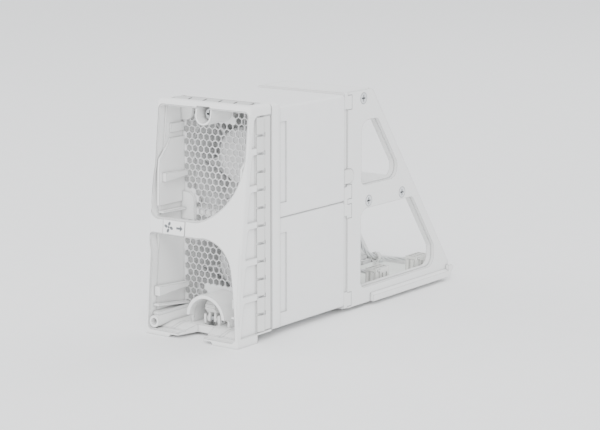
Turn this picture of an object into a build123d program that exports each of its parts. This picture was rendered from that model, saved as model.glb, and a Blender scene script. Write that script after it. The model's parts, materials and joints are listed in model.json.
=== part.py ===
from build123d import *
import os
from math import pi, radians, sin, tan

# Hot-swap cooling module: two counter-rotating 80 mm fans stacked between an exhaust hood and a
# rear carrier with the connector board.
# Own frame: +X right, +Y towards the connectors, +Z up; air leaves towards -Y. The origin is the
# middle of the base, at the level the module stands on. All sizes are in millimetres.

# ---------------------------------------------------------------- driving dimensions
FAN = 80.0                    # side of a square fan
FAN_LENGTH = 80.0             # two impellers, back to back
HOOD_WIDTH = 84.0
HOOD_TOP = 169.0
BASE_TO_FANS = 5.0            # the hood's foot hangs below the fans
FRONT_Y = -141.5              # foot of the hood
REAR_Y = 141.5                # rear lip of the tray
FAN_FRONT_Y = -88.5
GRILLE_Y = -101.5             # front face of the honeycomb
HOOD_REAR_Y = -118.0

# ---------------------------------------------------------------- worked out from them
HALF_FAN = FAN / 2
HALF_HOOD = HOOD_WIDTH / 2
SEAM_Z = BASE_TO_FANS + FAN
FAN_REAR_Y = FAN_FRONT_Y + FAN_LENGTH
FAN_MID_Y = FAN_FRONT_Y + FAN_LENGTH / 2
FAN_CENTRES = {"lower": SEAM_Z - HALF_FAN, "upper": SEAM_Z + HALF_FAN}

# ---------------------------------------------------------------- hood
HOOD_FRONT_TOP_Y = -124.4
HOOD_FRONT_MID_Y = -134.6     # the front face is a little crowned
FRONT_WALL = 3.0
EDGE_STEP = 0.9               # a rebate round each opening
RIM_DEPTH = 7.0               # how far an opening's edge reaches behind the front face
DUCT = 37.6                   # half width of the duct
DUCT_LOW_Z, DUCT_TOP_Z = 7.6, 164.5
SILL_Z = 4.4                  # the floor slopes down from FLOOR_BREAK_Y to the lower opening's sill
FLOOR_BREAK_Y = -125.0
SKIRT = 41.2                  # half width of the skirt inside the finger strips
SKIRT_LOW_Z, SKIRT_TOP_Z = 5.6, 168.0
CORNER, FRONT_ROUND = 3.0, 1.8
FOOT_RAISED = 2.2             # the middle of the foot is higher than its two ends
POCKETS = 6
POCKET_PITCH, POCKET_HEIGHT, POCKET_DEPTH = 25.9, 21.2, 1.9
LEFT_POCKET_DEPTH = 0.8       # shallower, because the openings come close to the left side
POCKET_TOP_Z = 160.6
TUBE_X, TUBE_Z, TUBE_R, TUBE_BORE_R = 34.6, 9.3, 4.4, 2.45
TUBE_SEAT, HOOD_SCREW_R = 5.0, 1.25
RIGHT_TUBE_Y = -119.0         # the right tube starts behind the opening's edge
PASSAGE_R, PASSAGE_WALL, PASSAGE_Z = 5.8, 1.5, 159.9
ARCH_R, ARCH_INNER_R, ARCH_Z = 17.4, 14.6, 12.8
ARCH_SETBACK = 6.0            # the legs stand this much further back than the arch
ARCH_FRONT_Y = -124.4
ARCH_LIP = 6.0
NOTCH_FRONT, NOTCH_REAR, NOTCH_END_Y = 12.0, 7.4, -123.6

# ---------------------------------------------------------------- finger strips and grille
FINGERS, FINGER_PITCH, SLIT = 12, 13.6, 1.4
STRIP_LOW_Z, STRIP_TOP_Z = 7.6, 160.8
TOP_FINGERS = 5
HEX_PITCH, HEX_WEB, GRILLE_T = 5.3, 0.8, 1.0

# ---------------------------------------------------------------- front frame
FRAME_FRONT_Y, FRAME_REAR_Y = -100.4, -91.4
FRAME_INNER = 37.0
BOSS_R, SCREW_SEAT = 4.6, 4.2

# ---------------------------------------------------------------- fans
BORE_R = 38.0
FLANGE, CORNER_BLOCK, RELIEF = 8.0, 11.0, 0.9
EDGE_ROUND = 2.4
SCREW_HALF_PITCH = 71.5 / 2   # the usual hole pitch of an 80 mm fan
HUB_R, HUB_LENGTH, HUB_WALL = 21.0, 30.0, 2.0
TIP_R = 37.2
SHAFT_R, RUNNING_FIT = 2.0, 0.03
BEARING_R, BEARING_W = 5.5, 3.0
SPIDER_T, SPIDER_R, TUBE_WALL, MOTOR_TUBE = 4.0, 19.0, 1.4, 21.0
STRUTS = 9
HUB_GAP = 1.5

# ---------------------------------------------------------------- rear carrier
CARRIER_TOP = 166.5
RING_REAR_Y = -4.0
PLATE_T = 2.7
SLOPE = ((31.6, 161.5), (137.1, 16.7))     # two points (y, z) on the sloping rear edge
RAIL_FRONT_Y, RAIL_OUT, RAIL_TOP_Z = 26.5, 3.0, 9.4
TRAY_LOW_Z, TRAY_TOP_Z = 3.0, 5.5
WINDOW_LIP, WINDOW_FLANGE = 0.8, 4.0
HEAD_R, M4_R, M3_R, PAN_HEAD = 4.3, 2.0, 1.5, 2.4
BRACKET_SCREWS = ((16.5, 160.0), (24.0, 81.3), (69.8, 81.3))
TABS = (158.9, 91.8, 77.2, 9.8)
TAB_HEIGHT, TAB_LENGTH, TAB_GAP = 10.4, 5.2, 0.25
GROMMET_Z, GROMMET_HEIGHT = 103.6, 11.0

# ---------------------------------------------------------------- connector board
BOARD_LOW_Z, BOARD_T = 7.6, 1.6
BOARD_X, BOARD_Y = (-22.0, 30.0), (46.0, 130.0)
HEADER_WIDTH, HEADER_LENGTH, HEADER_HEIGHT = 10.2, 18.6, 12.8
HEADER_X = 24.0
HEADERS = {"front_header": 60.0, "rear_header": 117.0}
PIN_PITCH, PINS_ALONG, WELL = 4.2, 4, 3.0
COLUMN_INSET, COLUMN_DEPTH, T_RIB = 1.6, 1.4, 0.8
LEAD_R = 1.9

os.makedirs("parts", exist_ok=True)


# ---------------------------------------------------------------- helpers
def block(x_range, y_range, z_range):
    """A box between its low and high faces."""
    ranges = (x_range, y_range, z_range)
    size = [high - low for low, high in ranges]
    centre = [(low + high) / 2 for low, high in ranges]
    return Pos(*centre) * Box(*size)


def rod(radius, start, end):
    """A round bar between two points."""
    along = Vector(*end) - Vector(*start)
    return extrude(Plane(start, z_dir=along) * Circle(radius), amount=along.length)


def closed(*edges):
    """A face from edges that meet end to end."""
    return make_face(list(edges))


def polygon(*points):
    """A face with straight sides."""
    return make_face(Polyline(*points, close=True))


def across(face, x_low, x_high):
    """A face drawn in (y, z), made solid between two x."""
    plane = Plane((x_low, 0, 0), x_dir=(0, 1, 0), z_dir=(1, 0, 0))
    return extrude(plane * face, amount=x_high - x_low)


def along(face, y_low, y_high):
    """A face drawn in (x, z), made solid between two y."""
    plane = Plane((0, y_high, 0), x_dir=(1, 0, 0), z_dir=(0, -1, 0))
    return extrude(plane * face, amount=y_high - y_low)


def mirrored(solid):
    """The solid's mirror image across the middle."""
    return mirror(solid, about=Plane.YZ)


def save(name, *shapes):
    """Write one sub-part: one solid, or a group of separate solids."""
    solids = [solid for shape in shapes for solid in shape.solids()]
    shape = solids[0] if len(solids) == 1 else Compound(children=solids)
    export_step(shape, f"parts/{name}.step")


def front_y(z):
    """How far forward the hood's front face is at a height, without its crown."""
    return FRONT_Y + (HOOD_FRONT_TOP_Y - FRONT_Y) * z / HOOD_TOP


# ---------------------------------------------------------------- exhaust hood
def hood_profile(inset, rear, low, high):
    """The hood from its side, with its front face moved in by inset."""
    foot = (FRONT_Y + inset, low)
    crown = (HOOD_FRONT_MID_Y + inset, SEAM_Z)
    top = (HOOD_FRONT_TOP_Y + inset, high)
    front = ThreePointArc(foot, crown, top)
    return closed(front, Line(top, (rear, high)), Line((rear, high), (rear, low)), Line((rear, low), foot))


def upper_opening():
    """The upper exhaust opening, from the front."""
    return closed(
        Line((-36.4, 164.2), (36.9, 164.2)),
        ThreePointArc((36.9, 164.2), (38.8, 163.4), (39.4, 161.5)),
        Line((39.4, 161.5), (39.6, 138.0)),
        ThreePointArc((39.6, 138.0), (29.4, 104.6), (1.3, 85.4)),
        Line((1.3, 85.4), (-33.5, 84.6)),
        ThreePointArc((-33.5, 84.6), (-39.4, 87.2), (-40.7, 93.5)),
        ThreePointArc((-40.7, 93.5), (-40.2, 108.0), (-38.8, 122.0)),
        Line((-38.8, 122.0), (-39.4, 161.5)),
        ThreePointArc((-39.4, 161.5), (-38.6, 163.4), (-36.4, 164.2)),
    )


def lower_opening():
    """The lower exhaust opening, from the front."""
    return closed(
        Line((-37.5, 72.8), (3.0, 72.8)),
        ThreePointArc((3.0, 72.8), (25.2, 66.6), (33.4, 50.0)),
        ThreePointArc((33.4, 50.0), (36.6, 30.0), (38.6, SILL_Z + 2)),
        Line((38.6, SILL_Z + 2), (36.6, SILL_Z)),
        Line((36.6, SILL_Z), (-36.0, SILL_Z)),
        ThreePointArc((-36.0, SILL_Z), (-37.7, SILL_Z + 0.7), (-38.4, SILL_Z + 2.4)),
        Line((-38.4, SILL_Z + 2.4), (-38.4, 60.0)),
        ThreePointArc((-38.4, 60.0), (-39.4, 64.0), (-40.4, 68.5)),
        ThreePointArc((-40.4, 68.5), (-40.0, 71.8), (-37.5, 72.8)),
    )


def passage(radius, roof):
    """The U that hangs from the roof around the captive screw, from the front."""
    return closed(
        Line((-radius, roof), (-radius, PASSAGE_Z)),
        ThreePointArc((-radius, PASSAGE_Z), (0, PASSAGE_Z - radius), (radius, PASSAGE_Z)),
        Line((radius, PASSAGE_Z), (radius, roof)),
        Line((radius, roof), (-radius, roof)),
    )


def arch(radius, low):
    """The finger arch on its straight legs, from the front."""
    return closed(
        Line((-radius, low), (-radius, ARCH_Z)),
        ThreePointArc((-radius, ARCH_Z), (0, ARCH_Z + radius), (radius, ARCH_Z)),
        Line((radius, ARCH_Z), (radius, low)),
        Line((radius, low), (-radius, low)),
    )


def arch_setback():
    """What is cut from the front of the arch's legs, from the side."""
    front, rear, low = ARCH_FRONT_Y - 2, ARCH_FRONT_Y + ARCH_SETBACK, DUCT_LOW_Z - 2
    bend = ARCH_Z - 2
    outline = closed(
        Line((front, low), (rear, low)),
        Line((rear, low), (rear, bend)),
        ThreePointArc((rear, bend), (rear - 0.7, bend + 1.7), (rear - 2.4, bend + 2.4)),
        Line((rear - 2.4, bend + 2.4), (front, bend + 3.4)),
        Line((front, bend + 3.4), (front, low)),
    )
    return across(outline, -ARCH_R - 1, ARCH_R + 1)


def finger_arch():
    """The arch on its legs, which is hollow from the front."""
    solid = along(arch(ARCH_R, DUCT_LOW_Z - 1), ARCH_FRONT_Y, GRILLE_Y)
    solid -= along(arch(ARCH_INNER_R, DUCT_LOW_Z - 2), ARCH_FRONT_Y - 1, ARCH_FRONT_Y + ARCH_LIP)
    solid -= along(arch(ARCH_INNER_R + 0.8, DUCT_LOW_Z - 2), ARCH_FRONT_Y + ARCH_LIP, GRILLE_Y - 1.6)
    return solid - arch_setback()


def duct_space():
    """The air space inside the hood, whose floor slopes down to the sill of the lower opening."""
    space = across(hood_profile(FRONT_WALL, GRILLE_Y + 1, DUCT_LOW_Z, DUCT_TOP_Z), -DUCT, DUCT)
    front = front_y(SILL_Z) + FRONT_WALL
    slope = polygon(
        (front, SILL_Z),
        (FLOOR_BREAK_Y, DUCT_LOW_Z),
        (FLOOR_BREAK_Y, DUCT_LOW_Z + 1),
        (front, DUCT_LOW_Z + 1),
    )
    return space + across(slope, -DUCT, DUCT)


def left_wall_details():
    """Raised panels, ribs and the lug on the duct's left wall."""
    wall, raised, rib_out, root = -DUCT, 1.4, 4.8, 0.5
    rear = GRILLE_Y
    curved = closed(
        Line((rear, 139.5), (-117.3, 139.5)),
        ThreePointArc((-117.3, 139.5), (-122.6, 132.5), (-130.0, 125.0)),
        Line((-130.0, 125.0), (-131.0, 92.0)),
        Line((-131.0, 92.0), (rear, 92.0)),
        Line((rear, 92.0), (rear, 139.5)),
    )
    details = [
        block((wall - root, wall + raised), (-116.5, rear), (143.5, 150.0)),
        across(curved, wall - root, wall + raised),
    ]
    ribs = ((115.6, 114.4, 6.4, 3.2), (88.2, 87.6, 1.5, 1.5), (34.0, 32.0, 7.0, 2.9), (21.4, 17.4, 1.6, 1.6))
    for z_front, z_rear, thick, thin in ribs:
        front = front_y(z_front) + FRONT_WALL
        rib = polygon((front, z_front), (rear, z_rear), (rear, z_rear - thin), (front, z_front - thick))
        details.append(across(rib, wall - root, wall + rib_out))
    lug_r, lug_x, lug_z = 6.4, -32.0, 92.8
    diagonal = lug_r * sin(radians(45))
    lug = closed(
        Line((wall - root, 79.0), (wall - root, lug_z + lug_r)),
        Line((wall - root, lug_z + lug_r), (lug_x, lug_z + lug_r)),
        ThreePointArc((lug_x, lug_z + lug_r), (lug_x + diagonal, lug_z + diagonal), (lug_x + lug_r, lug_z)),
        Line((lug_x + lug_r, lug_z), (lug_x + lug_r, 79.0)),
        Line((lug_x + lug_r, 79.0), (wall - root, 79.0)),
    )
    details.append(along(lug, rear - 3.0, rear))
    gusset = closed(
        Line((wall - root, DUCT_TOP_Z + root), (-27.0, DUCT_TOP_Z + root)),
        Line((-27.0, DUCT_TOP_Z + root), (-27.0, 157.0)),
        ThreePointArc((-27.0, 157.0), (-29.2, 153.0), (-33.0, 151.4)),
        Line((-33.0, 151.4), (wall - root, 151.4)),
        Line((wall - root, 151.4), (wall - root, DUCT_TOP_Z + root)),
    )
    details.append(along(gusset, rear - 2.0, rear))
    return details


def tube_rib():
    """The rib just above the left screw tube."""
    low, high = TUBE_Z + TUBE_R - 0.6, TUBE_Z + TUBE_R + 2.0
    return block((-DUCT - 0.5, -DUCT + 4.8), (front_y(high) + FRONT_WALL, GRILLE_Y), (low, high))


def side_pockets(depth):
    """Coring pockets of a depth in the right side, which open to the rear."""
    pockets = []
    for index in range(POCKETS):
        high = POCKET_TOP_Z - index * POCKET_PITCH
        low = SKIRT_LOW_Z + 1 if index == POCKETS - 1 else high - POCKET_HEIGHT
        lead = front_y(high) + 4.6
        foot = front_y(low) + 3.6
        rear = HOOD_REAR_Y
        face = polygon((lead, high - 1.6), (lead + 1.6, high), (rear, high), (rear, low), (foot, low))
        pockets.append(across(face, HALF_HOOD - depth, HALF_HOOD + 1))
    return pockets


def front_hood():
    """The moulded exhaust hood: shell, skirt, duct, arch, screw passage and screw tubes."""
    shell = across(hood_profile(0, HOOD_REAR_Y, 0, HOOD_TOP), -HALF_HOOD, HALF_HOOD)
    shell = fillet(shell.edges().filter_by(Axis.Y).group_by(Axis.Z)[-1], CORNER)
    front_face = shell.faces().sort_by(Axis.Y)[0]
    shell = fillet(front_face.edges().filter_by(lambda edge: edge.center().Z > 1), FRONT_ROUND)
    skirt = block((-SKIRT, SKIRT), (HOOD_REAR_Y - 3, GRILLE_Y), (SKIRT_LOW_Z, SKIRT_TOP_Z))
    skirt = fillet(skirt.edges().filter_by(Axis.Y), CORNER - 0.8)
    body = shell + skirt
    for z_low, z_high in ((SKIRT_TOP_Z - 6.4, HOOD_TOP), (SKIRT_LOW_Z, SKIRT_LOW_Z + 1.6)):
        cap = block((SKIRT - 6.0, HALF_HOOD), (HOOD_REAR_Y - 1, GRILLE_Y), (z_low, z_high))
        if z_high == HOOD_TOP:
            cap = fillet(cap.edges().filter_by(Axis.Y).group_by(Axis.Z)[-1].sort_by(Axis.X)[-1], CORNER)
        body += cap
        body += mirrored(cap)

    body -= duct_space()
    rim = across(hood_profile(-2, GRILLE_Y, -2, HOOD_TOP + 2), -HALF_HOOD, HALF_HOOD)
    rim -= across(hood_profile(RIM_DEPTH, GRILLE_Y + 1, -3, HOOD_TOP + 3), -HALF_HOOD - 1, HALF_HOOD + 1)
    edge = across(hood_profile(-2, GRILLE_Y, -2, HOOD_TOP + 2), -HALF_HOOD, HALF_HOOD)
    edge -= across(hood_profile(EDGE_STEP, GRILLE_Y + 1, -3, HOOD_TOP + 3), -HALF_HOOD - 1, HALF_HOOD + 1)
    for opening in (upper_opening(), lower_opening()):
        body -= along(opening, FRONT_Y - 4, HOOD_REAR_Y) & rim
        body -= along(offset(opening, amount=EDGE_STEP), FRONT_Y - 4, HOOD_REAR_Y) & edge

    inside = across(hood_profile(0.8, GRILLE_Y, 1.0, HOOD_TOP - 1), -HALF_HOOD + 1, HALF_HOOD - 1)
    for detail in left_wall_details():
        body += detail & inside
        body += mirrored(detail) & inside
    body += tube_rib() & inside
    below_skirt = block((-HALF_HOOD, HALF_HOOD), (HOOD_REAR_Y - 1, GRILLE_Y), (0, SKIRT_LOW_Z))
    for side, start in ((-1, FRONT_Y), (1, RIGHT_TUBE_Y)):
        seat = (side * TUBE_X, GRILLE_Y - TUBE_SEAT, TUBE_Z)
        tube = rod(TUBE_R, (side * TUBE_X, start, TUBE_Z), (side * TUBE_X, GRILLE_Y, TUBE_Z))
        body += (tube & inside) - below_skirt
        body -= rod(TUBE_BORE_R, (side * TUBE_X, FRONT_Y - 1 if side < 0 else start - 1, TUBE_Z), seat)
        body -= rod(HOOD_SCREW_R + 0.15, seat, (side * TUBE_X, GRILLE_Y + 1, TUBE_Z))

    outer_u = along(passage(PASSAGE_R + PASSAGE_WALL, HOOD_TOP - 2), FRONT_Y, GRILLE_Y) & inside
    body += outer_u
    body -= along(passage(PASSAGE_R, HOOD_TOP - 3), FRONT_Y - 2, GRILLE_Y - 2.5)
    body -= rod(M4_R + 0.3, (0, GRILLE_Y - 4, PASSAGE_Z), (0, GRILLE_Y + 1, PASSAGE_Z))

    body += finger_arch()

    notch = polygon(
        (-NOTCH_FRONT, FRONT_Y - 1),
        (NOTCH_FRONT, FRONT_Y - 1),
        (NOTCH_REAR, NOTCH_END_Y),
        (-NOTCH_REAR, NOTCH_END_Y),
    )
    body -= extrude(Plane((0, 0, -1)) * notch, amount=DUCT_LOW_Z + 2)
    raised = polygon((-21, -1), (-18.4, FOOT_RAISED), (18.4, FOOT_RAISED), (21, -1))
    body -= along(raised, FRONT_Y - 1, HOOD_REAR_Y)
    hollow = block((NOTCH_FRONT + 4, HALF_HOOD - 3), (FRONT_Y + 12, HOOD_REAR_Y + 1), (-1, SILL_Z - 1.6))
    body -= hollow
    body -= mirrored(hollow)
    body -= block((-5.6, 5.6), (PIVOT_Y - 6.5, GRILLE_Y - 2.4), (-1, DUCT_LOW_Z + 0.5))
    for pocket in side_pockets(POCKET_DEPTH):
        body -= pocket
    for pocket in side_pockets(LEFT_POCKET_DEPTH):
        body -= mirrored(pocket)
    label = label_plate(0.3)
    body -= label
    return body


def label_plate(margin=0.0):
    """The small plate on the bridge between the two openings."""
    plate = polygon(
        (-29.0 - margin, 73.6 - margin),
        (-9.4 + margin, 73.6 - margin),
        (-9.4 + margin, 84.0 + margin),
        (-29.0 - margin, 84.0 + margin),
    )
    slab = across(hood_profile(-0.25, GRILLE_Y, 0, HOOD_TOP), -HALF_HOOD, HALF_HOOD)
    slab -= across(hood_profile(0.55 + margin, GRILLE_Y + 1, -1, HOOD_TOP + 1), -HALF_HOOD - 1, HALF_HOOD + 1)
    return along(plate, FRONT_Y, HOOD_REAR_Y) & slab


def hood_screws():
    """Two pan head screws deep inside the screw tubes."""
    screws = []
    for side in (-1, 1):
        axis_x = side * TUBE_X
        seat = (axis_x, GRILLE_Y - TUBE_SEAT, TUBE_Z)
        top = (axis_x, GRILLE_Y - TUBE_SEAT - 2.2, TUBE_Z)
        head = rod(2.3, top, seat) - phillips(3.0, 1.4, top)
        screws.append(head + rod(HOOD_SCREW_R, seat, (axis_x, FRAME_REAR_Y - 1.0, TUBE_Z)))
    return screws


def phillips(size, depth, at, out=(0, -1, 0)):
    """A cross recess whose mouth faces out, as a cutting tool."""
    plane = Plane(at, z_dir=out)
    cross = Rectangle(size, size * 0.24) + Rectangle(size * 0.24, size)
    return extrude(plane * cross, amount=-depth, taper=12)


# ---------------------------------------------------------------- captive screw
SCREW_HEAD_Y = -117.5
SCREW_HEAD_R = 4.15
CLIP_Y = -96.2


def captive_screw():
    """The cross-head screw that draws the hood to the frame, with a groove for its clip."""
    at = (0, SCREW_HEAD_Y, PASSAGE_Z)
    head = rod(SCREW_HEAD_R, at, (0, SCREW_HEAD_Y + 4.5, PASSAGE_Z))
    head = chamfer(head.edges().group_by(Axis.Y)[0], 0.5)
    head -= phillips(5.2, 2.4, at)
    shank = rod(M4_R, (0, SCREW_HEAD_Y + 4.5, PASSAGE_Z), (0, FRAME_REAR_Y + 0.4, PASSAGE_Z))
    groove = rod(3.0, (0, CLIP_Y, PASSAGE_Z), (0, CLIP_Y + 0.7, PASSAGE_Z))
    groove -= rod(1.6, (0, CLIP_Y - 1, PASSAGE_Z), (0, CLIP_Y + 2, PASSAGE_Z))
    return head + shank - groove


def screw_clip():
    """The retaining clip that keeps the screw in the hood, a slit ring that turns in the groove."""
    ring = rod(3.4, (0, CLIP_Y + 0.05, PASSAGE_Z), (0, CLIP_Y + 0.65, PASSAGE_Z))
    ring -= rod(1.65, (0, CLIP_Y - 1, PASSAGE_Z), (0, CLIP_Y + 2, PASSAGE_Z))
    return ring - block((-1.2, 1.2), (CLIP_Y - 1, CLIP_Y + 2), (PASSAGE_Z - 4, PASSAGE_Z))


def coil_spring(radius, wire, start, length, turns, axis=(0, 1, 0)):
    """A spring of round wire along an axis."""
    path = Helix(pitch=length / turns, height=length, radius=radius)
    section = Plane(path @ 0, z_dir=path % 0) * Circle(wire)
    spring = sweep(section, path=path)
    return Plane(start, z_dir=axis).location * spring


# ---------------------------------------------------------------- release latch
PIVOT_Y, PIVOT_Z, PIN_R = -113.5, 11.2, 1.5
LATCH_HALF, PAD_HALF, BARREL_HALF = 3.6, 4.6, 4.8


def release_latch():
    """The thumb lever in the arch, with its hook through the floor."""
    arm = polygon(
        (-116.6, 9.4),
        (-116.2, 17.0),
        (-112.4, 17.0),
        (-111.0, 13.9),
        (-106.6, 9.4),
        (-106.4, 1.6),
        (-109.6, 1.0),
        (-109.8, 7.0),
        (-112.6, 8.8),
    )
    pad = polygon(
        (-116.4, 16.0),
        (-118.6, 19.0),
        (-118.2, 22.6),
        (-115.8, 24.6),
        (-113.4, 24.0),
        (-112.4, 16.0),
    )
    lever = across(arm, -LATCH_HALF, LATCH_HALF)
    lever += across(pad, -PAD_HALF, PAD_HALF)
    for y, z in ((-118.7, 19.3), (-118.4, 21.6), (-116.7, 17.2)):
        lever += rod(0.5, (-PAD_HALF, y, z), (PAD_HALF, y, z))
    lever += rod(2.9, (-BARREL_HALF, PIVOT_Y, PIVOT_Z), (BARREL_HALF, PIVOT_Y, PIVOT_Z))
    lever -= rod(PIN_R + 0.05, (-BARREL_HALF - 1, PIVOT_Y, PIVOT_Z), (BARREL_HALF + 1, PIVOT_Y, PIVOT_Z))
    return lever - block((-1.6, 1.6), (PIVOT_Y - 3.4, PIVOT_Y + 3.4), (PIVOT_Z - 3.4, PIVOT_Z + 5.0))


def latch_pivots():
    """Two ears on the hood floor and the pin between them."""
    ears = []
    for side in (-1, 1):
        x_low, x_high = sorted((side * (BARREL_HALF + 0.4), side * (BARREL_HALF + 2.6)))
        ear = block((x_low, x_high), (PIVOT_Y - 3.2, PIVOT_Y + 3.2), (DUCT_LOW_Z - 1.5, PIVOT_Z + 3.2))
        ears.append(ear - rod(PIN_R, (x_low - 1, PIVOT_Y, PIVOT_Z), (x_high + 1, PIVOT_Y, PIVOT_Z)))
    pin = rod(PIN_R, (-BARREL_HALF - 2.6, PIVOT_Y, PIVOT_Z), (BARREL_HALF + 2.6, PIVOT_Y, PIVOT_Z))
    return ears, pin


# ---------------------------------------------------------------- contact strips and grille
def finger_profile():
    """A contact finger in (distance back from the hood, height above the skirt)."""
    return polygon(
        (0.15, 0.0), (0.15, 0.35), (5.9, 1.6), (7.0, 1.6), (9.8, 0.35), (16.2, 0.35),
        (16.2, 0.0), (9.6, 0.0), (6.9, 1.25), (6.0, 1.25), (1.6, 0.0),
    )


def finger_strip(length, fingers):
    """A strip of spring fingers along +Z, with its skirt side facing -X."""
    plane = Plane((0, 0, 0), x_dir=(0, 1, 0), z_dir=(0, 0, -1))
    strip = extrude(plane * finger_profile(), amount=-length)
    pitch = length / fingers
    for index in range(1, fingers):
        middle = index * pitch
        strip -= block((-2, 3), (-1, 9.4), (middle - SLIT / 2, middle + SLIT / 2))
        strip -= block((-2, 3), (8.6, 10.2), (middle - SLIT, middle + SLIT))
    return strip


def finger_strips():
    """The four strips around the skirt."""
    length = STRIP_TOP_Z - STRIP_LOW_Z
    right = Pos(SKIRT, HOOD_REAR_Y, STRIP_LOW_Z) * finger_strip(length, FINGERS)
    top_length = TOP_FINGERS * FINGER_PITCH
    top = Rot(0, -90, 0) * finger_strip(top_length, TOP_FINGERS)
    top = Pos(top_length / 2, HOOD_REAR_Y, SKIRT_TOP_Z) * top
    short_length = 2 * FINGER_PITCH
    short = Rot(0, 90, 0) * finger_strip(short_length, 2)
    bottom = Pos(7.4, HOOD_REAR_Y, SKIRT_LOW_Z) * short
    return {
        "right_finger_strip": [right],
        "left_finger_strip": [mirrored(right)],
        "top_finger_strip": [top],
        "bottom_finger_strips": [bottom, mirrored(bottom)],
    }


def exhaust_grille():
    """The honeycomb sheet between the hood and the frame."""
    sheet = Pos(0, SEAM_Z) * Rectangle(2 * SKIRT - 1, 158)
    hole = RegularPolygon(radius=(HEX_PITCH - HEX_WEB) / 2, side_count=6, major_radius=False, rotation=90)
    row_pitch = HEX_PITCH * sin(radians(60))
    rows = int(156 / row_pitch / 2)
    columns = int(2 * DUCT / HEX_PITCH / 2)
    holes = []
    for row in range(-rows, rows + 1):
        for column in range(-columns, columns + 1):
            x = (column + 0.5 * (row % 2)) * HEX_PITCH
            z = SEAM_Z + row * row_pitch
            near_screw = abs(x) < 8.5 and z > PASSAGE_Z - 8.5
            near_tube = abs(abs(x) - TUBE_X) < TUBE_R + 2.0 and z < TUBE_Z + TUBE_R + 2.0
            near_lug = abs(x) > 24.0 and 78.0 < z < 100.0
            outside = abs(x) > DUCT - 2.6 or not 11.5 < z < DUCT_TOP_Z - 2.4
            behind_arch = abs(x) < ARCH_R + 1 and z < ARCH_Z + ARCH_R
            if not (near_screw or near_tube or near_lug or outside or behind_arch):
                holes.append(Pos(x, z) * hole)
    sheet -= holes
    grille = along(sheet, GRILLE_Y, GRILLE_Y + GRILLE_T)
    grille -= rod(M4_R + 0.3, (0, GRILLE_Y - 1, PASSAGE_Z), (0, GRILLE_Y + 2, PASSAGE_Z))
    for side in (-1, 1):
        axis = (side * TUBE_X, GRILLE_Y - 1, TUBE_Z)
        grille -= rod(HOOD_SCREW_R + 0.15, axis, (axis[0], GRILLE_Y + 2, TUBE_Z))
    return grille


# ---------------------------------------------------------------- front frame
def fan_screw_spots():
    """Where the fans' corner holes are, in (x, z)."""
    return [
        (side * SCREW_HALF_PITCH, centre + level * SCREW_HALF_PITCH)
        for centre in FAN_CENTRES.values()
        for side in (-1, 1)
        for level in (-1, 1)
    ]


def front_screw_spots():
    """The corner holes that hold the frame; the hood screws take the place of the lowest two."""
    return [(x, z) for x, z in fan_screw_spots() if z > SKIRT_LOW_Z + BOSS_R]


def front_frame():
    """The frame that joins the hood and the two fans."""
    outer = block((-HALF_HOOD, HALF_HOOD), (FRAME_FRONT_Y, FRAME_REAR_Y), (SKIRT_LOW_Z, HOOD_TOP - 0.6))
    outer = fillet(outer.edges().filter_by(Axis.Y), CORNER)
    outer = chamfer(outer.faces().sort_by(Axis.Y)[-1].edges(), 0.8)
    spigot_top = BASE_TO_FANS + 2 * FAN + 0.4
    spigot = block((-40.4, 40.4), (FRAME_REAR_Y - 1, FAN_FRONT_Y), (BASE_TO_FANS, spigot_top))
    spigot = fillet(spigot.edges().filter_by(Axis.Y), EDGE_ROUND)
    frame = outer + spigot
    for centre in FAN_CENTRES.values():
        z_range = (centre - FRAME_INNER, centre + FRAME_INNER)
        opening = block((-FRAME_INNER, FRAME_INNER), (FRAME_FRONT_Y - 1, FAN_FRONT_Y + 1), z_range)
        frame -= fillet(opening.edges().filter_by(Axis.Y), 8)
    for x, z in front_screw_spots():
        corner = rod(BOSS_R, (x, FRAME_REAR_Y - 5, z), (x, FAN_FRONT_Y, z))
        frame += corner & (outer + spigot)
    bar_y = FRAME_FRONT_Y + 5.6
    bar = block((-BOSS_R - 3, BOSS_R + 3), (bar_y, FRAME_REAR_Y), (PASSAGE_Z - 2, PASSAGE_Z + 6))
    frame += bar + rod(BOSS_R, (0, bar_y, PASSAGE_Z), (0, FRAME_REAR_Y, PASSAGE_Z))
    frame -= rod(M4_R + 0.05, (0, FRAME_FRONT_Y - 1, PASSAGE_Z), (0, FAN_FRONT_Y + 1, PASSAGE_Z))
    frame -= rod(4.0, (0, FRAME_FRONT_Y - 1, PASSAGE_Z), (0, bar_y, PASSAGE_Z))
    for x, z in front_screw_spots():
        frame -= rod(M4_R + 0.15, (x, FRAME_REAR_Y - 6, z), (x, FAN_FRONT_Y + 1, z))
        frame -= rod(3.9, (x, FRAME_FRONT_Y - 1, z), (x, FAN_FRONT_Y - SCREW_SEAT, z))
    for side in (-1, 1):
        axis_x = side * TUBE_X
        corner = rod(BOSS_R, (axis_x, FRAME_FRONT_Y, TUBE_Z), (axis_x, FRAME_REAR_Y, TUBE_Z))
        frame += corner & outer
        frame -= rod(HOOD_SCREW_R, (axis_x, FRAME_FRONT_Y - 1, TUBE_Z), (axis_x, FRAME_REAR_Y - 1.0, TUBE_Z))
    return frame


def pan_head_screw(x, y, z, length, out):
    """An M4 pan head screw whose head is on the out side of y."""
    head = rod(3.6, (x, y + out * PAN_HEAD, z), (x, y, z))
    head = chamfer(head.edges().group_by(Axis.Y)[0 if out < 0 else -1], 0.6)
    head -= phillips(3.6, 1.4, (x, y + out * PAN_HEAD, z), (0, out, 0))
    return head + rod(M4_R, (x, y, z), (x, y - out * length, z))


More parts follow.
